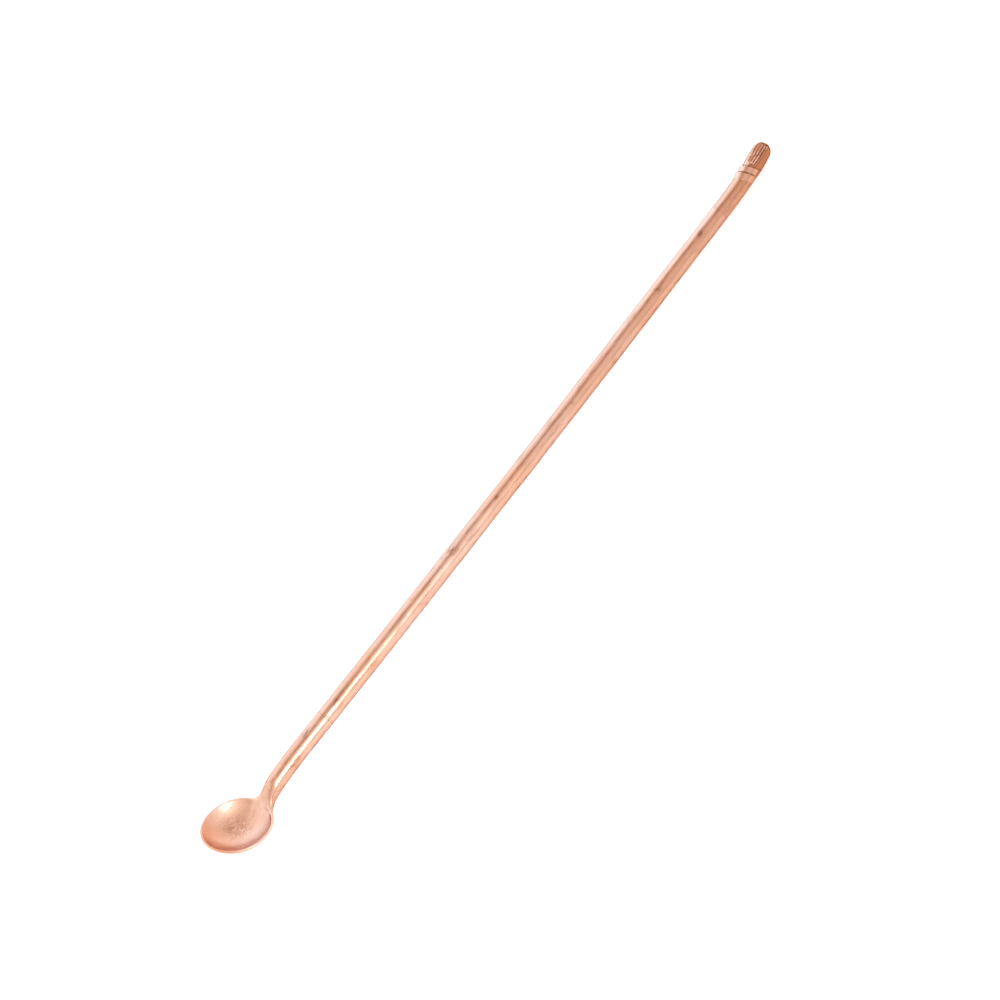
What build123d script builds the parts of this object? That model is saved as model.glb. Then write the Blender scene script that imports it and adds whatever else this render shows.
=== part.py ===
from build123d import *

import os
from math import asin, atan2, cos, degrees, radians, sin

# A long copper bar spoon: a round dished bowl, a gently bent neck, a tube
# handle and a fluted bud on the end, all brazed together. Millimetres; +X runs
# from the bowl to the bud, +Z is up and the bowl opens upward. The pieces are
# drawn with the handle's axis on X, then tilted and moved together, so that
# the spoon lies on z = 0 as it rests on a table.

# ---- driving dimensions ----
TOTAL_LENGTH = 304.8
HANDLE_DIAMETER = 6.35
TUBE_WALL = 0.8
TUBE_START_FROM_TIP = 58.3
TUBE_LENGTH = 217.2
SPIGOT_LENGTH = 12.0

BRAZE_GAP = 0.4
BRAZE_PROUD = 0.06

BOWL_DIAMETER = 24.6
BOWL_DEPTH = 7.6
BOWL_WALL = 1.2
BOWL_TILT = 21.2
BOWL_LIFT = 2.0

NECK_BEND_FROM_TIP = 44.3
NECK_BEND_RADIUS = 115.0
NECK_NOSE_FROM_TIP = 23.6
FILLET_LEG = 1.5
FILLET_RISE = 1.3

FINIAL_TURN = -49.0
CURL_START_FROM_END = 24.4
CURL_RADIUS = 148.0
BUD_RADIUS = 3.2
FLUTE_COUNT = 5
FLUTE_SPREAD = 24.0
FLUTE_FACE_TURN = 90.0
FLUTE_RADIUS = 0.6
FLUTE_DEPTH = 0.45
FLUTE_LENGTH = 8.0

COLLAR_LENGTH = 2.45
COLLAR_SLANT = 21.0
COLLAR_OFFSET = 0.42
COLLAR_SMALL_RADIUS = 3.55
COLLAR_LARGE_RADIUS = 3.78
UPPER_COLLAR_FROM_END = 10.2

# ---- places worked out from them ----
BOWL_TIP_X = -TOTAL_LENGTH / 2
END_X = TOTAL_LENGTH / 2
HANDLE_RADIUS = HANDLE_DIAMETER / 2
BORE_RADIUS = HANDLE_RADIUS - TUBE_WALL
TUBE_START_X = BOWL_TIP_X + TUBE_START_FROM_TIP
TUBE_END_X = TUBE_START_X + TUBE_LENGTH
NECK_SHOULDER_X = TUBE_START_X - BRAZE_GAP
FINIAL_SHOULDER_X = TUBE_END_X + BRAZE_GAP

LIP_RADIUS = BOWL_WALL / 2
RIM_RADIUS = BOWL_DIAMETER / 2 - LIP_RADIUS
RIM_HEIGHT = BOWL_DEPTH - BOWL_WALL
MIDDLE_SPHERE = (RIM_RADIUS**2 + RIM_HEIGHT**2) / (2 * RIM_HEIGHT)
OUTER_SPHERE = MIDDLE_SPHERE + LIP_RADIUS
INNER_SPHERE = MIDDLE_SPHERE - LIP_RADIUS
RIM_ANGLE = asin(RIM_RADIUS / MIDDLE_SPHERE)
RIM_NORMAL = Vector(sin(radians(BOWL_TILT)), 0, cos(radians(BOWL_TILT)))
RIM_CENTRE_X = BOWL_TIP_X + RIM_RADIUS * cos(radians(BOWL_TILT)) + LIP_RADIUS
RIM_CENTRE = Vector(RIM_CENTRE_X, 0, BOWL_LIFT)
SPHERE_CENTRE = RIM_CENTRE + RIM_NORMAL * (MIDDLE_SPHERE - RIM_HEIGHT)

NECK_BEND_X = BOWL_TIP_X + NECK_BEND_FROM_TIP
NECK_NOSE_X = BOWL_TIP_X + NECK_NOSE_FROM_TIP
CURL_X = END_X - CURL_START_FROM_END
BUD_CENTRE_X = END_X - BUD_RADIUS
UPPER_COLLAR_X = END_X - UPPER_COLLAR_FROM_END
LOWER_COLLAR_X = UPPER_COLLAR_X - COLLAR_LENGTH / cos(radians(COLLAR_SLANT))


def bent_path(start_x, bend_x, end_x, radius, side):
    """A line along X, then an arc of this radius that turns up (side 1) or down (side -1)."""
    turn = asin((end_x - bend_x) / radius)

    def on_arc(angle):
        return (bend_x + radius * sin(angle), 0, side * radius * (1 - cos(angle)))

    straight = Line((start_x, 0, 0), on_arc(0))
    return straight + ThreePointArc(straight @ 1, on_arc(turn / 2), on_arc(turn))


def bar_along(path, radius):
    """A round bar along a path."""
    return sweep(Plane(origin=path @ 0, z_dir=path % 0) * Circle(radius), path=path)


def spigot(shoulder_x, direction):
    """The turned-down end of a solid piece that sits inside the tube."""
    length = SPIGOT_LENGTH + BRAZE_GAP
    middle_x = shoulder_x + direction * length / 2
    return Pos(middle_x, 0, 0) * Rot(Y=90) * Cylinder(BORE_RADIUS, length)


def below_centre(radius, angle):
    """A point of the bowl's profile, on a circle about its centre of curvature."""
    return (radius * sin(angle), -radius * cos(angle))


def bowl_arc(radius, start, end):
    """An arc of the bowl's profile about its centre of curvature."""
    middle = below_centre(radius, (start + end) / 2)
    return ThreePointArc(below_centre(radius, start), middle, below_centre(radius, end))


def bowl():
    """The dished bowl: a spherical shell of even wall with a rounded lip."""
    outer = bowl_arc(OUTER_SPHERE, 0, RIM_ANGLE)
    inner = bowl_arc(INNER_SPHERE, RIM_ANGLE, 0)
    along_wall = Vector(cos(RIM_ANGLE), sin(RIM_ANGLE))
    lip_top = Vector(below_centre(MIDDLE_SPHERE, RIM_ANGLE)) + along_wall * LIP_RADIUS
    lip = ThreePointArc(outer @ 1, lip_top, inner @ 0)
    profile = make_face([outer, lip, inner, Line(inner @ 1, outer @ 0)])
    shell = revolve(Plane.XZ * profile, axis=Axis.Z)
    return Pos(SPHERE_CENTRE) * Rot(Y=BOWL_TILT) * Rot(Z=180) * shell


def inner_ball():
    """The ball that the inside of the bowl is part of."""
    return Pos(SPHERE_CENTRE) * Rot(Z=180) * Sphere(INNER_SPHERE)


def neck_bar():
    """The bent bar with its rounded nose, before it is fitted to the bowl."""
    path = bent_path(NECK_SHOULDER_X, NECK_BEND_X, NECK_NOSE_X, NECK_BEND_RADIUS, -1)
    return bar_along(path, HANDLE_RADIUS) + Pos(path @ 1) * Sphere(HANDLE_RADIUS)


def neck_tang(bowl_shell):
    """The neck: a spigot, the bent bar, and an end scooped and coped to fit the bowl."""
    return neck_bar() - inner_ball() - bowl_shell + spigot(NECK_SHOULDER_X, 1)


def on_joint(edge):
    """Whether an edge lies where the neck bar meets the ball of the bowl's inside."""
    on_ball = abs((edge @ 0.5 - SPHERE_CENTRE).length - INNER_SPHERE) < 0.01
    return on_ball and edge.center().X > NECK_NOSE_X - HANDLE_DIAMETER


def bowl_braze(bowl_shell):
    """The fillet of filler metal round the neck, flush with the inside of the bowl."""
    joined = inner_ball() + neck_bar()
    joint = [edge for edge in joined.edges() if on_joint(edge)]
    filled = chamfer(joint, FILLET_LEG) - joined
    top = Plane(RIM_CENTRE, z_dir=RIM_NORMAL).offset(FILLET_RISE)
    size = 2 * BOWL_DIAMETER
    below_top = top * Box(size, size, size, align=(Align.CENTER, Align.CENTER, Align.MAX))
    return (filled & below_top) - bowl_shell


def handle_tube():
    """The plain tube that is the handle."""
    tube = Cylinder(HANDLE_RADIUS, TUBE_LENGTH) - Cylinder(BORE_RADIUS, TUBE_LENGTH)
    return Pos(TUBE_START_X + TUBE_LENGTH / 2, 0, 0) * Rot(Y=90) * tube


def braze_ring(start_x):
    """The ring of filler metal in the gap between the tube and a shoulder."""
    ring = Cylinder(HANDLE_RADIUS + BRAZE_PROUD, BRAZE_GAP) - Cylinder(BORE_RADIUS, BRAZE_GAP)
    return Pos(start_x + BRAZE_GAP / 2, 0, 0) * Rot(Y=90) * ring


def slanted_plane(x):
    """The plane of a collar's face; the side that the bud curls toward leans back to the bowl."""
    slant = radians(COLLAR_SLANT)
    return Plane(origin=(x, 0, 0), x_dir=(0, 1, 0), z_dir=(cos(slant), 0, sin(slant)))


def flute(turn, path):
    """One groove along the bud, at this turn from the side it curls toward."""
    groove = Cylinder(FLUTE_RADIUS, FLUTE_LENGTH) + Pos(0, 0, -FLUTE_LENGTH / 2) * Sphere(FLUTE_RADIUS)
    along = Plane(origin=path @ 1, x_dir=(0, 1, 0), z_dir=path % 1)
    return along * Rot(Z=turn) * Pos(0, BUD_RADIUS + FLUTE_RADIUS - FLUTE_DEPTH, 0) * groove


def finial():
    """The bud: a spigot, a shank that curls, and a domed end with flutes on one face."""
    path = bent_path(FINIAL_SHOULDER_X, CURL_X, BUD_CENTRE_X, CURL_RADIUS, 1)
    fat_bar = bar_along(path, BUD_RADIUS) + Pos(path @ 1) * Sphere(BUD_RADIUS)
    bud = split(fat_bar, bisect_by=slanted_plane(UPPER_COLLAR_X), keep=Keep.TOP)
    body = bar_along(path, HANDLE_RADIUS) + bud + spigot(FINIAL_SHOULDER_X, -1)
    for i in range(FLUTE_COUNT):
        turn = FLUTE_FACE_TURN + (i - (FLUTE_COUNT - 1) / 2) * FLUTE_SPREAD
        body -= flute(turn, path)
    return body


def collar(face_x, body):
    """A slanted cuff that flares toward the bud and stands proud on the side it curls toward."""
    cuff = Cone(COLLAR_SMALL_RADIUS, COLLAR_LARGE_RADIUS, COLLAR_LENGTH)
    rise = CURL_RADIUS * (1 - cos(asin((face_x - CURL_X) / CURL_RADIUS)))
    place = slanted_plane(face_x) * Pos(0, rise + COLLAR_OFFSET, -COLLAR_LENGTH / 2)
    return place * cuff - body


def resting_place(pieces):
    """Tilts the spoon onto its bowl and its lower collar, and centres it over z = 0."""
    bowl_low = SPHERE_CENTRE.Z - OUTER_SPHERE
    collar_low = pieces["lower_collar"].bounding_box().min.Z
    tilt = Rot(Y=degrees(atan2(collar_low - bowl_low, LOWER_COLLAR_X - SPHERE_CENTRE.X)))
    tilted = {name: tilt * piece for name, piece in pieces.items()}
    box = Compound(list(tilted.values())).bounding_box()
    place = Pos(-box.center().X, -box.center().Y, -box.min.Z)
    return {name: place * piece for name, piece in tilted.items()}


def make_pieces():
    """Every piece of the spoon, by its name."""
    bowl_shell = bowl()
    bud = finial()
    turned = Rot(X=FINIAL_TURN)
    pieces = {
        "bowl": bowl_shell,
        "bowl_braze": bowl_braze(bowl_shell),
        "neck_tang": neck_tang(bowl_shell),
        "neck_braze_ring": braze_ring(NECK_SHOULDER_X),
        "handle_tube": handle_tube(),
        "finial_braze_ring": braze_ring(TUBE_END_X),
        "finial": turned * bud,
        "lower_collar": turned * collar(LOWER_COLLAR_X, bud),
        "upper_collar": turned * collar(UPPER_COLLAR_X, bud),
    }
    return resting_place(pieces)


os.makedirs("parts", exist_ok=True)
for name, piece in make_pieces().items():
    export_step(piece, f"parts/{name}.step")
    box = piece.bounding_box()
    print(f"{name}: {box.min} to {box.max}")
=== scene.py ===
"""A hand-made copper bar spoon on a pale table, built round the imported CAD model.

Shapes are worked out in millimetres in the spoon's own frame: X along the handle from the bowl
to the bud, Z up out of the bowl, origin on the handle's axis in the middle of its length. They are
then bent a little, laid on the table by the pose of the CAD handle, and scaled to metres.
"""

from math import asin, cos, pi, radians, sin

import bpy
import numpy as np
from mathutils import Matrix, Vector, noise


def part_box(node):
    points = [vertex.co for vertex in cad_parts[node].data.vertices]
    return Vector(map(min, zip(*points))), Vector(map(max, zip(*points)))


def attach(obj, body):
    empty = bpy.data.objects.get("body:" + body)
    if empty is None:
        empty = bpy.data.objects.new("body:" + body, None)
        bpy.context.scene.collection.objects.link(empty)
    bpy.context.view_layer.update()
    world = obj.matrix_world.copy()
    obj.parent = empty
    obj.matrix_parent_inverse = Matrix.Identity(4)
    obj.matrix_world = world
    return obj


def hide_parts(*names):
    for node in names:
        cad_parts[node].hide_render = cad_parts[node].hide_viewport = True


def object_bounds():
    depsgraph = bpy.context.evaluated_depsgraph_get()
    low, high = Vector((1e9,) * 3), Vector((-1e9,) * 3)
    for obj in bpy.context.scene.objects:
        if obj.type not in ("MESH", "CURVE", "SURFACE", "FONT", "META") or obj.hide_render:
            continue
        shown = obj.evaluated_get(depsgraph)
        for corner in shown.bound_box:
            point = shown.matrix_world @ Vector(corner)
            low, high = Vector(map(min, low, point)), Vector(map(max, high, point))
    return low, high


MM = 0.001

# Sizes in millimetres. The bowl is a little shallower, thinner and lower, and the curl gentler, than in
# the CAD model; the rest of this group is the same.
LENGTH = 304.8
HANDLE_RADIUS = 3.175
BORE_RADIUS = 2.375
BRAZE_GAP = 0.4
TUBE_START_FROM_TIP = 58.3
TUBE_LENGTH = 217.2
SPIGOT_LENGTH = 12.0
BOWL_DEPTH = 6.8
BOWL_WALL = 1.0
BOWL_TILT = radians(21.2)
BOWL_LIFT = 1.75
NECK_BEND_FROM_TIP = 44.3
NECK_BEND_RADIUS = 115.0
NECK_NOSE_FROM_TIP = 23.6
CURL_START_FROM_END = 24.4
CURL_RADIUS = 165.0
CURL_TURN = radians(-49)
BUD_RADIUS = 3.2
COLLAR_LENGTH = 2.45
COLLAR_SLANT = radians(21)
UPPER_COLLAR_FROM_END = 10.2

# What a hand-made spoon adds to those sizes.
FILLET_BLEND = 3.8
BOWL_SPREAD = 0.4
BOWL_LEAN = 0.75
BOWL_LEAN_START = -119.0
BOWL_LEAN_LENGTH = 24.0
BUD_SWELL = 0.2
SCOOP_BLEND = (0.7, 3.3)
SEAM_GAP = 0.1
LAP_LENGTH = 0.5
LAP_DEPTH = 0.02
BOW = Vector((0.0, -0.72, -0.63))
CUFF_FLARE = 0.6
CUFF_BURIED = 0.35
CUFF_EDGE = 0.08
FLUTE_COUNT = 4
FLUTE_MIDDLE = radians(70)
FLUTE_FAN = (radians(14), radians(25))
FLUTE_DEPTH = 0.5
FLUTE_WIDTH = 0.26
HAND_SEED = 7
WANDER_DEPTH, WANDER_LENGTH = 0.05, 45
WAVE_DEPTH, WAVE_LENGTH = 0.06, 9
DENT_DEPTH, DENT_LENGTH = 0.018, 3.2

# Where the pieces' surfaces are looked for, and how fine their meshes are.
BOWL_REGION = (-153.5, -13.5, -6.5), (-116, 13.5, 9.5)
NECK_REGION = (-137, -6.5, -6.5), (-81.5, 6.5, 4.5)
BUD_REGION = (110.5, -4, -4), (153, 4, 5.5)
CUFF_REGION = (135, -4.5, -4.5), (145, 4.5, 5.5)
BOWL_MESH, BUD_MESH, CUFF_MESH = 0.16, 0.11, 0.1
TUBE_ROWS, TUBE_SIDES = 620, 96

# Tarnish marks on the handle: millimetres along, degrees round from the top to the front, size.
MARKS = (
    (-113, 64, 1.5),
    (-103, 10, 1.2),
    (-88, 29, 0.9),
    (-24, 7, 1.3),
    (-1, 26, 0.6),
    (40, 41, 0.45),
    (89, 26, 1.0),
    (113, 24, 1.1),
)

CAMERA_TURN = -12.14
CAMERA_RISE = 48.6
CAMERA_ROLL = -43.08
CAMERA_DISTANCE = 1.5
CAMERA_LENS = 160.9
CAMERA_AIM = Vector((-0.65, -1.25, -2.80)) * MM

# The floor's colour and glow, and the light over the bowl: metres and watts.
FLOOR_GREY = 0.62
FLOOR_GLOW = 0.62
FLOOR_SIDE = 6.0
LIGHT_SIDE = Vector((0.06, -0.79, 0.61))
LIGHT_DISTANCE = 0.4
LIGHT_SIZE = (0.10, 0.13)
LIGHT_POWER = 0.50


# Shapes as signed distances. Each function takes an array of points, one a row, in millimetres.


def smooth_union(a, b, blend):
    """The union of two solids with a fillet about this wide between them."""
    share = np.clip(0.5 + 0.5 * (b - a) / blend, 0, 1)
    return b + (a - b) * share - blend * share * (1 - share)


def smooth_cut(a, b, blend):
    """Solid a without solid b, with a rounded edge."""
    return -smooth_union(-a, b, blend)


def length(x, y):
    return np.sqrt(x * x + y * y)


class Spoon:
    """Where things are along the handle, in millimetres from the middle."""

    tip = -LENGTH / 2
    end = LENGTH / 2
    tube_start = tip + TUBE_START_FROM_TIP
    neck_bend = tip + NECK_BEND_FROM_TIP
    neck_nose = tip + NECK_NOSE_FROM_TIP
    tube_length = TUBE_LENGTH
    tube_end = tube_start + TUBE_LENGTH
    neck_shoulder = tube_start - BRAZE_GAP
    finial_shoulder = tube_end + BRAZE_GAP
    curl = end - CURL_START_FROM_END
    bud_centre = end - BUD_RADIUS
    upper_collar = end - UPPER_COLLAR_FROM_END
    upper_collar_middle = upper_collar - COLLAR_LENGTH / 2 / cos(COLLAR_SLANT)
    lower_collar_middle = upper_collar_middle - COLLAR_LENGTH / cos(COLLAR_SLANT)


class Dish:
    """The bowl's spherical shell."""

    lip = BOWL_WALL / 2

    def __init__(self, diameter):
        self.rim_radius = diameter / 2 - self.lip
        depth = BOWL_DEPTH - BOWL_WALL
        self.radius = (self.rim_radius**2 + depth**2) / (2 * depth)
        self.rim_angle = asin(self.rim_radius / self.radius)
        self.normal = np.array((sin(BOWL_TILT), 0, cos(BOWL_TILT)))
        rim_x = Spoon.tip + self.rim_radius * cos(BOWL_TILT) + self.lip
        self.rim_centre = np.array((rim_x, 0, BOWL_LIFT))
        self.centre = self.rim_centre + self.normal * (self.radius - depth)

    def polar(self, points):
        """How far points are below the ball's centre, out from the bowl's axis, and from the centre."""
        from_centre = points - self.centre
        down = -from_centre @ self.normal
        away = np.linalg.norm(from_centre, axis=1)
        out = np.sqrt(np.maximum(away**2 - down**2, 0))
        return down, out, away

    def shell(self, points):
        down, out, away = self.polar(points)
        wall = np.abs(away - self.radius)
        rim = length(out - self.rim_radius, down - self.radius * cos(self.rim_angle))
        return np.where(np.arctan2(out, down) < self.rim_angle, wall, rim) - self.lip

    def ball(self, points):
        """The ball that the inside of the bowl is part of."""
        return self.polar(points)[2] - (self.radius - self.lip)

    def outside(self, points, gap):
        """The ball that holds the bowl, with this much room all round."""
        return self.polar(points)[2] - (self.radius + self.lip + gap)


def bent_bar(points, bend_x, end_x, bend_radius, side):
    """Distance from a line along X that curves up (side 1) or down (side -1) from bend_x to end_x."""
    x, y, z = points.T
    direction = 1 if end_x > bend_x else -1
    turn = asin(abs(end_x - bend_x) / bend_radius)
    ahead = (x - bend_x) * direction
    from_pivot = bend_radius - side * z
    angle = np.arctan2(ahead, from_pivot)
    straight = length(y, z)
    on_arc = length(y, length(ahead, from_pivot) - bend_radius)
    end_drop = side * bend_radius * (1 - cos(turn))
    at_end = np.sqrt((ahead - bend_radius * sin(turn)) ** 2 + y**2 + (z - end_drop) ** 2)
    return np.where(ahead < 0, straight, np.where(angle < turn, on_arc, at_end))


def bowl_and_neck(points, dish):
    """The bowl and the bar run together by the filler metal, then hollowed by one ball."""
    bar = bent_bar(points, Spoon.neck_bend, Spoon.neck_nose, NECK_BEND_RADIUS, -1) - HANDLE_RADIUS
    joined = smooth_union(dish.shell(points), bar, FILLET_BLEND)
    toward_neck = np.clip((points[:, 0] - Spoon.neck_nose + 3) / 7, 0, 1)
    blend = SCOOP_BLEND[0] + (SCOOP_BLEND[1] - SCOOP_BLEND[0]) * toward_neck
    return smooth_cut(joined, dish.ball(points), blend)


def spigot(points, shoulder_x, direction):
    """The turned-down end of a solid piece that sits inside the tube."""
    along = (points[:, 0] - shoulder_x) * direction
    side = length(points[:, 1], points[:, 2]) - BORE_RADIUS
    return np.maximum(side, np.maximum(-along - 1, along - SPIGOT_LENGTH - BRAZE_GAP))


def bowl_distance(points, dish):
    """The bowl, with a thin edge that laps just under the neck's surface."""
    under = LAP_DEPTH * np.clip(dish.outside(points, 0) / SEAM_GAP, 0, 1)
    return np.maximum(bowl_and_neck(points, dish) + under, dish.outside(points, SEAM_GAP + LAP_LENGTH))


def neck_distance(points, dish):
    neck = np.maximum(bowl_and_neck(points, dish), -dish.outside(points, SEAM_GAP))
    neck = np.maximum(neck, points[:, 0] - Spoon.neck_shoulder)
    return np.minimum(neck, spigot(points, Spoon.neck_shoulder, 1))


def bud_share(points):
    """How far points are from the bud's start, 0, to its tip, 1."""
    start = Spoon.upper_collar + 0.5
    return np.clip((points[:, 0] - start) / (Spoon.end - start), 0, 1)


def fan_lines(points, numbers, width):
    """Lines that fan out over one face of the bud, from 0 to 1 at each point."""
    x, y, z = points.T
    rise = np.maximum(x - Spoon.curl, 0) ** 2 / (2 * CURL_RADIUS)
    turn = np.arctan2(-y, z - rise)
    share = bud_share(points)
    spread = FLUTE_FAN[0] + (FLUTE_FAN[1] - FLUTE_FAN[0]) * share
    lines = np.zeros(len(x))
    for number in numbers:
        middle = FLUTE_MIDDLE + (number - (FLUTE_COUNT - 1) / 2) * spread
        across = (turn - middle) * HANDLE_RADIUS / (width * (1 + 0.9 * share))
        lines += np.exp(-across * across)
    return lines * np.clip(share * 8, 0, 1) * np.clip((1 - share) * 7, 0, 1)


def flutes(points):
    return fan_lines(points, range(FLUTE_COUNT), FLUTE_WIDTH)


def finial_distance(points):
    """The bud: a shank that curls and a domed end with flutes, before it is turned to its place."""
    bar = bent_bar(points, Spoon.curl, Spoon.bud_centre, CURL_RADIUS, 1)
    swell = BUD_SWELL * np.exp(-(((points[:, 0] - Spoon.upper_collar - 3) / 4) ** 2))
    body = bar - HANDLE_RADIUS - swell + FLUTE_DEPTH * flutes(points)
    body = np.maximum(body, Spoon.finial_shoulder - points[:, 0])
    return np.minimum(body, spigot(points, Spoon.finial_shoulder, -1))


def collar_distance(points, middle_x):
    """A slanted cuff that flares toward the bud, before it is turned to its place."""
    x, y, z = points.T
    along = (x - middle_x) * cos(COLLAR_SLANT) + z * sin(COLLAR_SLANT)
    rise = np.maximum(x - Spoon.curl, 0) ** 2 / (2 * CURL_RADIUS)
    flare = CUFF_FLARE * np.clip(along / COLLAR_LENGTH + 0.5, 0, 1) ** 1.1
    across = length(y, z - rise)
    side = 0.5 + 0.5 * (z - rise) / np.maximum(across, 0.1)
    outer = across - HANDLE_RADIUS - 0.05 - flare * side
    cuff = smooth_cut(outer, COLLAR_LENGTH / 2 - 0.02 - np.abs(along), CUFF_EDGE)
    shank = length(y, z - rise) - HANDLE_RADIUS + CUFF_BURIED
    return np.maximum(cuff, -shank)


# Stains and painted light, from 0 for bare copper to 1 or more for dark stain or painted shade and
# below 0 for a painted highlight, in the shapes' frame.


def line(value, middle, width):
    """1 where a value is at the middle, falling away to 0 on both sides."""
    return np.exp(-(((value - middle) / width) ** 2))


def bar_stain_and_shade(points):
    """A dark line that wanders along the front of the top, painted shade low on the front side, and the
    marks.
    """
    x, y, z = points.T
    turn = np.degrees(np.arctan2(-y, z))
    middle = 20 + 4 * np.sin(x / 17) + 2.5 * np.sin(x / 6.1 + 1)
    wandering = 0.35 * line(turn, middle, 7)
    # Painted shade low on the front of the bar, a dark reflection of the floor beside it.
    painted_underside_shade = 0.45 * line(turn, 120, 28)
    stain_and_painted_light = wandering + painted_underside_shade
    for mark_x, mark_turn, size in MARKS:
        away = line(x, mark_x, 2 * size) * line(turn, mark_turn, np.degrees(size / HANDLE_RADIUS))
        stain_and_painted_light = np.maximum(stain_and_painted_light, 0.8 * away)
    return stain_and_painted_light


def bowl_painted_shade(points, dish):
    """Painted shade: a dark line just inside the near part of the lip, and a duller outside."""
    down, out, away = dish.polar(points)
    near_side = np.clip(0.1 - points[:, 1] / 8, 0, 1)
    below_lip = down - dish.radius * cos(dish.rim_angle)
    # Painted shade just inside the lip on the near side.
    painted_lip_shade = near_side * line(out, dish.rim_radius - 0.62, 0.22)
    # Painted shade on the outside of the bowl, below the lip.
    outside = 0.25 * np.clip(below_lip / 0.4, 0, 1)
    return np.where(away < dish.radius, painted_lip_shade, outside)


def slanted(points, middle_x):
    """How far points are along the axis of a slanted collar."""
    return (points[:, 0] - middle_x) * cos(COLLAR_SLANT) + points[:, 2] * sin(COLLAR_SLANT)


def cuff_painted_shadow(points):
    """A painted shadow: a dark line where the upper cuff comes out of the lower one."""
    return 2 * line(slanted(points, Spoon.upper_collar_middle), 0.2 - COLLAR_LENGTH / 2, 0.24)


def bud_stain_and_painted_light(points):
    """Dark grooves with painted highlights on the ridges, painted shade at the tip and a painted shadow
    line above the upper cuff.
    """
    toward_front = np.clip((-points[:, 1] / HANDLE_RADIUS - 0.5) / 0.4, 0.2, 1)
    grooves = 0.75 * toward_front * np.clip(1.6 * flutes(points) - 0.6, 0, 1)
    # Painted shade at the end of the bud.
    tip = 4 * np.clip((points[:, 0] - Spoon.end + 1.5) / 1.2, 0, 1)
    # Painted shadow just above the upper cuff's step.
    above = 1.4 * line(slanted(points, Spoon.upper_collar_middle), COLLAR_LENGTH / 2 + 0.25, 0.2)
    dark = np.maximum(np.maximum(grooves, tip), np.maximum(above, 0.5 * bar_stain_and_shade(points)))
    between = np.arange(FLUTE_COUNT) - 0.5
    # Painted highlights on the ridges between the grooves, where the value drops below 0.
    ridges = fan_lines(points, between, 0.6 * FLUTE_WIDTH) * (1 - bud_share(points)) ** 2
    return dark - 2.4 * ridges


# Meshes.


def gradient(distance, points, reach=0.01):
    """Distance and its slope at each point."""
    here = distance(points)
    slope = np.stack([distance(points + step) - here for step in np.eye(3) * reach], 1) / reach
    return here, slope


def pull_to_surface(distance, points, rounds):
    """Steps each point down its slope until it lies on the surface."""
    for _ in range(rounds):
        here, slope = gradient(distance, points)
        steepness = np.maximum((slope * slope).sum(1), 0.2)
        points = points - slope * (here / steepness)[:, None]
    return points


def relax(points, faces):
    """Moves each point to the middle of its faces' middles."""
    middles = points[faces].mean(1)
    total = np.zeros_like(points)
    count = np.zeros(len(points))
    for corner in faces.T:
        np.add.at(total, corner, middles)
        np.add.at(count, corner, 1)
    return total / np.maximum(count, 1)[:, None]


def surface_net(distance, low, high, step):
    """Points and quads of a solid's surface, one point in each grid cell that the surface crosses."""
    axes = [np.arange(a - 1.5 * step, b + 2.5 * step, step) for a, b in zip(low, high)]
    grid = np.stack(np.meshgrid(*axes, indexing="ij"), -1)
    inside = (distance(grid.reshape(-1, 3)) < 0).reshape(grid.shape[:3])
    cells = tuple(n - 1 for n in inside.shape)
    corners = np.zeros(cells, int)
    for offset in np.ndindex(2, 2, 2):
        corners += inside[tuple(slice(o, o + n) for o, n in zip(offset, cells))]
    crossed = (corners > 0) & (corners < 8)
    number = np.full(cells, -1)
    number[crossed] = np.arange(crossed.sum())
    points = grid[:-1, :-1, :-1][crossed] + step / 2
    quads = []
    for axis in range(3):
        side_a, side_b = (axis + 1) % 3, (axis + 2) % 3
        here = np.moveaxis(inside, (axis, side_a, side_b), (0, 1, 2))
        cell = np.moveaxis(number, (axis, side_a, side_b), (0, 1, 2))
        start = here[:-1, 1:-1, 1:-1]
        for rising in (True, False):
            edge = np.nonzero((start != here[1:, 1:-1, 1:-1]) & (start == rising))
            i, j, k = edge
            ring = [cell[i, j, k], cell[i, j + 1, k], cell[i, j + 1, k + 1], cell[i, j, k + 1]]
            quads.append(np.stack(ring if rising else ring[::-1], 1))
    faces = np.concatenate(quads)
    points = pull_to_surface(distance, points, 3)
    for _ in range(3):
        points = pull_to_surface(distance, relax(points, faces), 2)
    return points, faces


def lathe(profile, segments):
    """Points and quads of a closed profile of (x, radius) pairs turned about X."""
    x, radius = np.array(profile).T
    turn = np.arange(segments) * 2 * pi / segments
    points = np.stack(
        [
            np.repeat(x, segments),
            np.outer(radius, np.cos(turn)).ravel(),
            np.outer(radius, np.sin(turn)).ravel(),
        ],
        1,
    )
    row, column = np.meshgrid(np.arange(len(x)), np.arange(segments), indexing="ij")
    row, column = row.ravel(), column.ravel()
    next_row, next_column = (row + 1) % len(x), (column + 1) % segments
    corners = ((row, column), (next_row, column), (next_row, next_column), (row, next_column))
    return points, np.stack([r * segments + c for r, c in corners], 1)


# Placing.


def table_pose():
    """From the spoon's frame in millimetres to the table in metres, by the CAD handle's box."""
    low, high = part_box("handle_tube")
    size, middle = (high - low) / MM, (high + low) / 2
    tilt = asin((size.z - size.y) / Spoon.tube_length)
    tube_middle = Spoon.tube_start + Spoon.tube_length / 2
    turned = Matrix.Translation(middle) @ Matrix.Rotation(tilt, 4, "Y")
    return turned @ Matrix.Scale(MM, 4) @ Matrix.Translation((-tube_middle, 0, 0))


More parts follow.
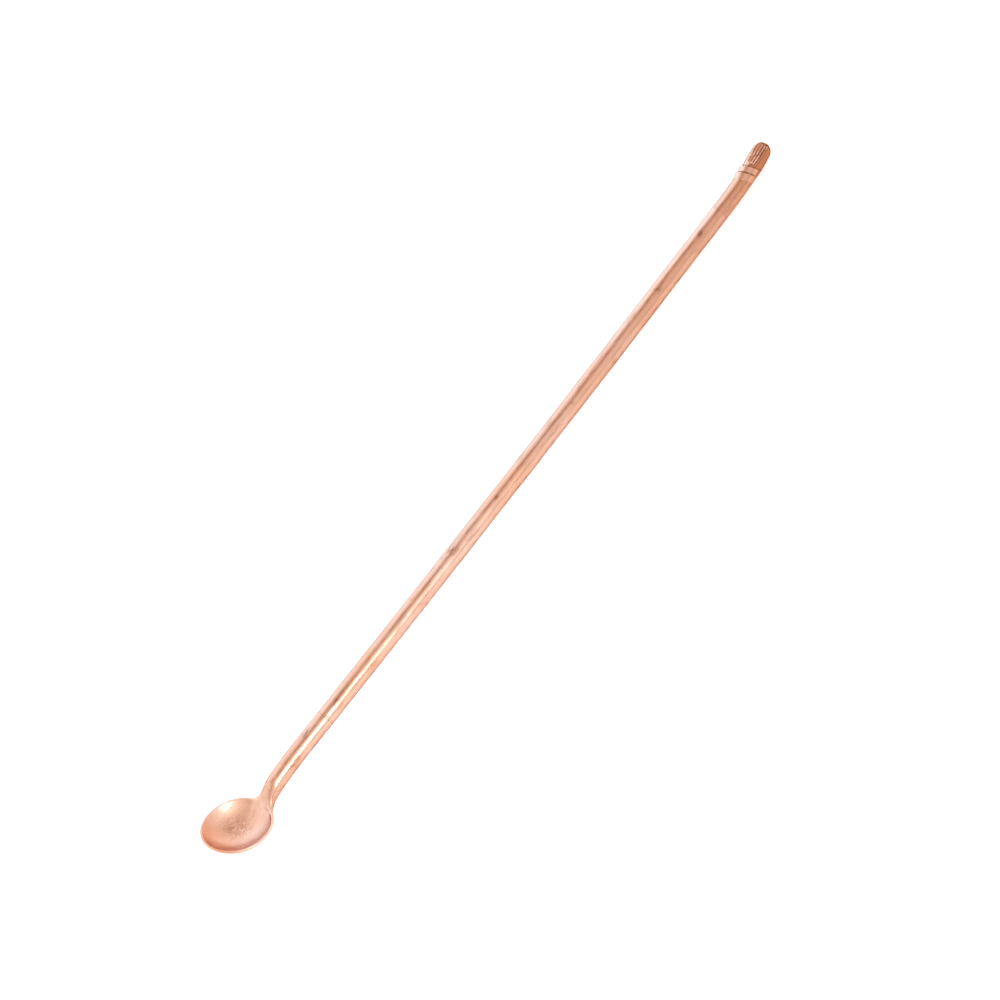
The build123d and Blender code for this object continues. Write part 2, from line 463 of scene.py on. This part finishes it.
def hand_made(points):
    """Bends the whole spoon a little and works its surface unevenly."""
    shifted = []
    for point in points:
        place = Vector(point)
        bow = BOW * (1 - (2 * place.x / LENGTH) ** 2)
        wander = noise.noise_vector(Vector((place.x / WANDER_LENGTH, 3.1, 7.7))) * WANDER_DEPTH
        past = min(max((BOWL_LEAN_START - place.x) / BOWL_LEAN_LENGTH, 0), 1)
        lean = BOWL_LEAN * past * past * (3 - 2 * past)
        waves = noise.noise_vector(place / WAVE_LENGTH) * WAVE_DEPTH
        dents = noise.noise_vector(place / DENT_LENGTH + Vector((5, 5, 5))) * DENT_DEPTH
        shifted.append(place + bow + Vector((0, wander.y - lean, wander.z)) + waves + dents)
    return np.array(shifted)


def make_piece(name, shape, stain_and_painted_light, pose, material, nodes):
    """A smooth mesh with its stains and painted light that rides on the spoon and stands for these CAD
    nodes.
    """
    points, faces = shape
    placed = [pose @ Vector(p) for p in hand_made(points)]
    mesh = bpy.data.meshes.new(name)
    mesh.from_pydata(placed, [], faces.tolist())
    mesh.shade_smooth()
    mesh.attributes.new("stain_and_painted_light", "FLOAT", "POINT").data.foreach_set("value", stain_and_painted_light)
    mesh.materials.append(material)
    piece = bpy.data.objects.new(name, mesh)
    bpy.context.collection.objects.link(piece)
    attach(piece, "root")
    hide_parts(*nodes)


def turned(shape, angle):
    """A shape turned about the handle's axis."""
    points, faces = shape
    turn = np.array(Matrix.Rotation(angle, 3, "X"))
    return points @ turn.T, faces


# Materials.


class Shader:
    """A material made of nodes, with coordinates in the spoon's own millimetres."""

    def __init__(self, name):
        self.material = bpy.data.materials.new(name)
        self.material.use_nodes = True
        self.tree = self.material.node_tree
        self.tree.nodes.clear()
        place = self.add("ShaderNodeTexCoord", output="Object")
        self.where = self.vector("SCALE", place, Scale=1 / MM)
        self.along = self.add("ShaderNodeSeparateXYZ", {0: self.where})
        facing = self.add("ShaderNodeTexCoord", output="Normal")
        back = self.add("ShaderNodeSeparateXYZ", {0: facing}, output=1)
        self.front = self.ramp(self.math("MULTIPLY", back, -1.0), 0.0, 0.5)

    def add(self, kind, inputs=(), output=0, **settings):
        """Adds a node, links or sets its inputs, and returns one output."""
        node = self.tree.nodes.new(kind)
        for key, value in settings.items():
            setattr(node, key, value)
        for key, value in dict(inputs).items():
            if isinstance(value, bpy.types.NodeSocket):
                self.tree.links.new(value, node.inputs[key])
            else:
                node.inputs[key].default_value = value
        return node.outputs[output]

    def vector(self, operation, first, second=None, **inputs):
        values = {0: first, **inputs}
        if second is not None:
            values[1] = second
        return self.add("ShaderNodeVectorMath", values, operation=operation)

    def math(self, operation, first, second=0.0):
        return self.add("ShaderNodeMath", {0: first, 1: second}, operation=operation)

    def noise(self, size, detail=4.0, stretch=1.0, seed=0.0):
        """Noise with features this many millimetres wide, drawn out along the handle."""
        scale = (1 / (size * stretch), 1 / size, 1 / size)
        scaled = self.vector("MULTIPLY", self.where, scale)
        moved = self.vector("ADD", scaled, (seed, seed * 0.7, seed * 1.3))
        return self.add("ShaderNodeTexNoise", {"Vector": moved, "Scale": 1.0, "Detail": detail})

    def ramp(self, value, low, high, out_low=0.0, out_high=1.0):
        inputs = {"Value": value, 1: low, 2: high, 3: out_low, 4: out_high}
        return self.add("ShaderNodeMapRange", inputs, interpolation_type="SMOOTHSTEP")

    def mix(self, factor, first, second, kind="MIX"):
        inputs = {0: factor, 6: first, 7: second}
        return self.add("ShaderNodeMix", inputs, output=2, data_type="RGBA", blend_type=kind)

    def bump(self, height, depth, normal=None):
        """Height from 0 to 1 as relief this many millimetres deep."""
        inputs = {"Height": height, "Distance": depth * MM, "Strength": 1.0}
        if normal is not None:
            inputs["Normal"] = normal
        return self.add("ShaderNodeBump", inputs)

    def finish(self, colour, roughness, normal):
        """Lays the dark stains and painted shade, and the pale painted highlights, over the colour, and
        makes the surface.
        """
        stain_and_painted_light = self.add("ShaderNodeAttribute", output="Fac", attribute_name="stain_and_painted_light")
        patchy = self.ramp(self.noise(0.8, detail=4, stretch=3, seed=41.0), 0.40, 0.58, 0.15)
        # Stains and painted shade darken the colour; a value below 0 gives a painted highlight.
        stain_and_shade_amount = self.math("MULTIPLY", stain_and_painted_light, patchy)
        colour = self.mix(stain_and_shade_amount, colour, STAIN_AND_SHADE_COLOUR)
        # Painted highlight: pale where the value is below 0.
        painted_highlight_noise = self.ramp(self.noise(1.0, detail=3, stretch=2, seed=61.0), 0.42, 0.55, -0.1, -1.2)
        colour = self.mix(self.math("MULTIPLY", stain_and_painted_light, painted_highlight_noise), colour, PALE)
        # The specular tint darkens with the stains and the painted shade.
        tint = self.mix(stain_and_shade_amount, GRAZING_TINT, STAIN_AND_SHADE_COLOUR)
        inputs = {
            "Base Color": colour,
            "Metallic": 1.0,
            "Roughness": roughness,
            "Specular Tint": tint,
            "Normal": normal,
        }
        surface = self.add("ShaderNodeBsdfPrincipled", inputs)
        self.add_output(surface)
        return self.material

    def add_output(self, surface):
        node = self.tree.nodes.new("ShaderNodeOutputMaterial")
        self.tree.links.new(surface, node.inputs["Surface"])


PINK = (0.83, 0.545, 0.44, 1)
ORANGE = (0.81, 0.46, 0.32, 1)
BROWN = (0.50, 0.23, 0.14, 1)
DEEP = (0.62, 0.285, 0.165, 1)
DARK = (0.10, 0.05, 0.035, 1)
# The dark colour of stains and of painted shade.
STAIN_AND_SHADE_COLOUR = (0.27, 0.11, 0.06, 1)
RUST = (0.50, 0.19, 0.09, 1)
AMBER = (0.84, 0.41, 0.25, 1)
PALE = (0.91, 0.64, 0.54, 1)
WARM = (0.89, 0.56, 0.42, 1)
GRAZING_TINT = (0.56, 0.52, 0.52, 1)


def worked_copper(shader, pink=PINK, orange=ORANGE, tarnish=0.5, streak=0.4, rough=(0.24, 0.40)):
    """Colour, roughness and relief that all the copper shares."""
    broad = shader.noise(16, stretch=2.0, seed=2.0)
    colour = shader.mix(shader.ramp(broad, 0.35, 0.65), pink, orange)
    streaks = shader.noise(0.55, detail=3, stretch=22, seed=4.0)
    colour = shader.mix(shader.ramp(streaks, 0.45, 0.75, 0, streak), colour, BROWN)
    blotches = shader.noise(3.2, detail=6, stretch=2.5, seed=9.0)
    colour = shader.mix(shader.ramp(blotches, 0.56, 0.74, 0, tarnish), colour, BROWN)
    specks = shader.noise(0.5, detail=2, stretch=1.6, seed=13.0)
    colour = shader.mix(shader.ramp(specks, 0.68, 0.76, 0, 0.7), colour, DARK)
    scratches = shader.noise(0.16, detail=3, stretch=60, seed=21.0)
    relief = shader.bump(scratches, 0.006)
    relief = shader.bump(shader.noise(1.4, detail=3, stretch=3), 0.03, relief)
    uneven = shader.noise(2.4, detail=5, stretch=3, seed=30.0)
    roughness = shader.ramp(uneven, 0.35, 0.7, *rough)
    return colour, roughness, relief


def handle_copper(name="handle_copper", tarnish=0.5):
    """Pink at the bowl's end; toward the bud, browner on the front, partly tarnish and partly painted
    shade, and paler on the back, a painted reflection.
    """
    shader = Shader(name)
    colour, rough, relief = worked_copper(shader, tarnish=tarnish)
    # Tarnish toward the bud, laid on the front only: partly painted shade.
    tarnish_and_front_shade = shader.math("MULTIPLY", shader.front, shader.ramp(shader.along, -60, 150, 0, 0.68))
    colour = shader.mix(tarnish_and_front_shade, colour, DEEP)
    # Painted reflection: the back of the handle paler toward the bud.
    behind = shader.math("SUBTRACT", 1.0, shader.ramp(shader.front, 0, 0.3))
    painted_back_reflection = shader.math("MULTIPLY", behind, shader.ramp(shader.along, 60, 105, 0, 0.5))
    colour = shader.mix(painted_back_reflection, colour, PALE)
    return shader.finish(colour, rough, relief)


def bowl_copper(scuffs_and_reflection_centre):
    """Paler copper, warmer at both ends, with a browner patch of scuff marks that is partly a painted
    reflection of the dim band overhead.
    """
    shader = Shader("bowl_copper")
    colour, rough, relief = worked_copper(shader, PALE, WARM, 0.35, 0.15, (0.36, 0.50))
    colour = shader.mix(shader.ramp(shader.along, -152, -139, 0.9, 0), colour, AMBER)
    colour = shader.mix(shader.ramp(shader.along, -131, -125, 0, 0.6), colour, DEEP)
    away = shader.add("ShaderNodeVectorMath", {0: shader.where, 1: scuffs_and_reflection_centre}, 1, operation="DISTANCE")
    patch = shader.ramp(away, 1.5, 7, 1, 0)
    scuffs = shader.noise(0.7, detail=5, seed=51.0)
    # The patch's brown is partly scuff marks and partly a painted reflection.
    brown_scuffs_and_reflection = shader.math("MULTIPLY", patch, shader.ramp(scuffs, 0.40, 0.62, 0.1, 0.8))
    colour = shader.mix(brown_scuffs_and_reflection, colour, BROWN)
    bright = shader.math("MULTIPLY", patch, shader.ramp(scuffs, 0.60, 0.66, 0, 0.8))
    colour = shader.mix(bright, colour, PALE)
    relief = shader.bump(shader.math("MULTIPLY", patch, scuffs), 0.10, relief)
    return shader.finish(colour, rough, relief)


def finial_copper():
    """Browner toward the tip, partly tarnish and partly painted shade on the front, and paler behind.
    """
    shader = Shader("finial_copper")
    colour, rough, relief = worked_copper(shader, tarnish=0.6)
    # Painted shade: the front of the bud darker, with the tarnish toward the tip.
    front = shader.ramp(shader.front, 0.1, 1, 0.05, 1)
    tarnish_and_front_shade = shader.math("MULTIPLY", front, shader.ramp(shader.along, 110, 146, 0.65, 1.0))
    colour = shader.mix(tarnish_and_front_shade, colour, DEEP)
    # Painted shade, darkest on the front near the tip, in a rust colour.
    darkest = shader.math("MULTIPLY", front, shader.ramp(shader.along, 133, 145, 0, 1.0))
    colour = shader.mix(darkest, colour, RUST)
    return shader.finish(colour, rough, relief)


# The pieces.


def tube_profile():
    """The tube's wall, with enough rows along its outside to carry dents."""
    start, end = Spoon.tube_start, Spoon.tube_start + Spoon.tube_length
    rows = [(x, HANDLE_RADIUS) for x in np.linspace(start, end, TUBE_ROWS)]
    return rows + [(end, BORE_RADIUS), (start, BORE_RADIUS)]


def ring_profile(start):
    """A bead of filler metal that stands a little proud of the tube."""
    end, proud = start + BRAZE_GAP, HANDLE_RADIUS + 0.02
    outside = [(start, HANDLE_RADIUS), (start + 0.1, proud), (end - 0.1, proud), (end, HANDLE_RADIUS)]
    return outside + [(end, BORE_RADIUS), (start, BORE_RADIUS)]


def build_spoon():
    """All the visible pieces, each in place of its CAD nodes."""
    low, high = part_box("bowl")
    # Where the scuff marks and the painted reflection in the bowl are centred.
    scuffs_and_reflection_centre = (low + high) / 2 / MM + Vector((0.0, 2.6, -3.2))
    dish = Dish((high.y - low.y) / MM + BOWL_SPREAD)
    pose = table_pose()
    copper, braze = handle_copper(), handle_copper("braze_metal", 0.9)
    bud_copper = finial_copper()

    def bowl(points):
        return bowl_distance(points, dish)

    def neck(points):
        return neck_distance(points, dish)

    def upper(points):
        return collar_distance(points, Spoon.upper_collar_middle)

    def lower(points):
        return collar_distance(points, Spoon.lower_collar_middle)

    net = surface_net(bowl, *BOWL_REGION, BOWL_MESH)
    stain_and_painted_light = bowl_painted_shade(net[0], dish)
    make_piece("bowl_dish", net, stain_and_painted_light, pose, bowl_copper(scuffs_and_reflection_centre), ["bowl"])
    net = surface_net(neck, *NECK_REGION, BOWL_MESH)
    stain_and_painted_light = bar_stain_and_shade(net[0])
    make_piece("neck_bar", net, stain_and_painted_light, pose, copper, ["neck_tang", "bowl_braze"])
    tube = lathe(tube_profile(), TUBE_SIDES)
    make_piece("handle_bar", tube, bar_stain_and_shade(tube[0]), pose, copper, ["handle_tube"])
    rings = {"neck_braze_ring": Spoon.neck_shoulder, "finial_braze_ring": Spoon.tube_end}
    for name, start in rings.items():
        ring = lathe(ring_profile(start), TUBE_SIDES)
        make_piece(name + "_bead", ring, bar_stain_and_shade(ring[0]), pose, braze, [name])
    net = surface_net(finial_distance, *BUD_REGION, BUD_MESH)
    finial, stain_and_painted_light = turned(net, CURL_TURN), bud_stain_and_painted_light(net[0])
    make_piece("finial_bud", finial, stain_and_painted_light, pose, bud_copper, ["finial"])
    for name, distance in (("lower_collar", lower), ("upper_collar", upper)):
        net = surface_net(distance, *CUFF_REGION, CUFF_MESH)
        cuff, stain_and_painted_light = turned(net, CURL_TURN), cuff_painted_shadow(net[0])
        make_piece(name + "_cuff", cuff, stain_and_painted_light, pose, copper, [name])


# The studio.


def make_camera(aim):
    """The camera, looking down at the spoon from the front left, rolled to set it aslant."""
    turn, rise = radians(CAMERA_TURN), radians(CAMERA_RISE)
    back = Vector((sin(turn) * cos(rise), -cos(turn) * cos(rise), sin(rise)))
    level = Vector((cos(turn), sin(turn), 0))
    facing = Matrix((level, back.cross(level), back)).transposed()
    data = bpy.data.cameras.new("camera")
    data.lens = CAMERA_LENS
    data.clip_start, data.clip_end = 0.05, 20
    camera = bpy.data.objects.new("camera", data)
    rolled = facing @ Matrix.Rotation(radians(CAMERA_ROLL), 3, "Z")
    camera.matrix_world = Matrix.Translation(aim + back * CAMERA_DISTANCE) @ rolled.to_4x4()
    bpy.context.collection.objects.link(camera)
    bpy.context.scene.camera = camera


def make_floor():
    """A pale floor that glows a little, so that the spoon's shadow stays soft."""
    mesh = bpy.data.meshes.new("floor")
    corners = [(FLOOR_SIDE * x, FLOOR_SIDE * y, 0) for x, y in ((-1, -1), (1, -1), (1, 1), (-1, 1))]
    mesh.from_pydata(corners, [], [(0, 1, 2, 3)])
    floor = bpy.data.objects.new("floor", mesh)
    floor.location.z = -0.0001
    bpy.context.collection.objects.link(floor)
    material = bpy.data.materials.new("pale_floor")
    material.use_nodes = True
    shader = material.node_tree.nodes["Principled BSDF"]
    shader.inputs["Base Color"].default_value = (FLOOR_GREY, FLOOR_GREY, FLOOR_GREY, 1)
    shader.inputs["Roughness"].default_value = 0.9
    shader.inputs["Specular IOR Level"].default_value = 0.1
    shader.inputs["Emission Color"].default_value = (1, 1, 1, 1)
    shader.inputs["Emission Strength"].default_value = FLOOR_GLOW
    mesh.materials.append(material)


# The room's colour round the handle: degrees from overhead, below 0 to the back (+Y) and above 0 to
# the front.
SKY = (
    (-105, (1.20, 1.28, 1.36)),
    (-76, (1.45, 1.66, 1.86)),
    (-55, (1.30, 1.46, 1.62)),
    (-38, (1.22, 1.26, 1.30)),
    (-23, (1.14, 1.09, 1.07)),
    (-9, (0.81, 0.67, 0.60)),
    (6, (0.68, 0.54, 0.48)),
    (24, (0.96, 0.88, 0.83)),
    (42, (1.08, 1.05, 1.03)),
    (60, (1.03, 1.00, 0.98)),
    (76, (0.90, 0.87, 0.86)),
    (90, (0.78, 0.76, 0.76)),
)


def sky_ramp(tree):
    """The room's colours, along half a turn either way from overhead."""
    ramp = tree.nodes.new("ShaderNodeValToRGB")
    ramp.color_ramp.interpolation = "EASE"
    stops = ramp.color_ramp.elements
    for degree, colour in SKY:
        stop = stops.new((-degree + 180) / 360)
        stop.color = (*colour, 1)
    stops.remove(stops[0])
    stops.remove(stops[len(stops) - 1])
    return ramp


def make_world():
    """A pale room: bright round the sides and dimmer straight overhead."""
    world = bpy.data.worlds.new("studio")
    bpy.context.scene.world = world
    world.use_nodes = True
    tree = world.node_tree
    where = tree.nodes.new("ShaderNodeTexCoord").outputs["Generated"]
    part = tree.nodes.new("ShaderNodeSeparateXYZ")
    tree.links.new(where, part.inputs[0])
    turn = tree.nodes.new("ShaderNodeMath")
    turn.operation = "ARCTAN2"
    tree.links.new(part.outputs["Y"], turn.inputs[0])
    tree.links.new(part.outputs["Z"], turn.inputs[1])
    half_turn = tree.nodes.new("ShaderNodeMapRange")
    half_turn.inputs[1].default_value = -pi
    half_turn.inputs[2].default_value = pi
    tree.links.new(turn.outputs[0], half_turn.inputs[0])
    ramp = sky_ramp(tree)
    tree.links.new(half_turn.outputs[0], ramp.inputs[0])
    tree.links.new(ramp.outputs[0], tree.nodes["Background"].inputs["Color"])
    tree.nodes["Background"].inputs["Strength"].default_value = 1.0


def add_softbox(name, place, aim, size, power):
    """An oblong area light that faces a point."""
    data = bpy.data.lights.new(name, "AREA")
    data.shape = "RECTANGLE"
    data.size, data.size_y = size
    data.energy = power
    light = bpy.data.objects.new(name, data)
    light.location = place
    light.visible_camera = False
    light.rotation_mode = "QUATERNION"
    light.rotation_quaternion = (place - aim).to_track_quat("Z", "Y")
    bpy.context.collection.objects.link(light)


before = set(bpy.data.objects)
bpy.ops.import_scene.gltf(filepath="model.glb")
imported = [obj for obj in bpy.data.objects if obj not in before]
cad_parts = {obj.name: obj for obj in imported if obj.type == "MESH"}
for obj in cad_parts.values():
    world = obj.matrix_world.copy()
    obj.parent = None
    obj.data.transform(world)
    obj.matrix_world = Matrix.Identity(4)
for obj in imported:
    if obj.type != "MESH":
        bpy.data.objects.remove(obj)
cad_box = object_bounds()
make_camera((cad_box[0] + cad_box[1]) / 2 + CAMERA_AIM)
make_floor()
make_world()
bowl_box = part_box("bowl")
bowl_middle = (bowl_box[0] + bowl_box[1]) / 2
light_place = bowl_middle + LIGHT_DISTANCE * LIGHT_SIDE
add_softbox("bowl_softbox", light_place, bowl_middle, LIGHT_SIZE, LIGHT_POWER)
noise.seed_set(HAND_SEED)
build_spoon()
bpy.context.scene.view_settings.view_transform = "Standard"
